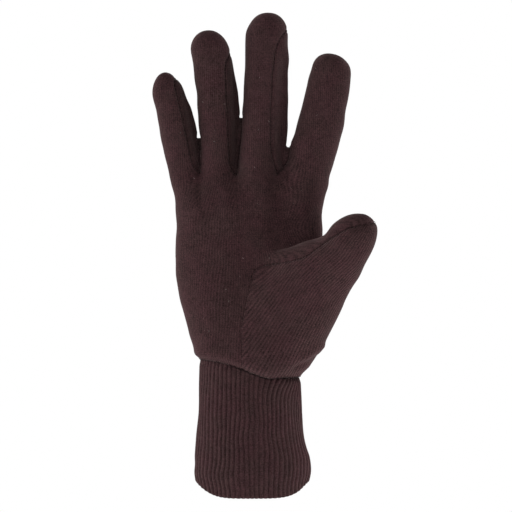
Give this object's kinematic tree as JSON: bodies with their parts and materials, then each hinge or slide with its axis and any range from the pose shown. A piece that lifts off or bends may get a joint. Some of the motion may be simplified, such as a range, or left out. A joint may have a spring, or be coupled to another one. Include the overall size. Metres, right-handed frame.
{
  "type": "cotton work glove",
  "caption": "Hollow right-hand work glove of brown cotton jersey with a slanted ribbed knit cuff, palm, back, thumb and finger side pieces, shown in its worn form.",
  "frame": {"origin": "centre of the cuff's open mouth, where the wrist goes in", "axes": "+Z along the glove towards the fingertips, -Y out of the palm, +X towards the thumb"},
  "size_m": [0.1209, 0.0618, 0.2661],
  "materials": {
    "jersey": "matte brushed cotton jersey, dark brown",
    "rib_knit": "matte cotton rib knit, dark brown"
  },
  "bodies": {
    "root": {"palm_panel": "jersey", "back_panel": "jersey", "thumb_panel": "jersey", "little_finger_gusset": "jersey", "ring_finger_gusset": "jersey", "middle_finger_gusset": "jersey", "knit_cuff": "rib_knit"}
  },
  "joints": []
}
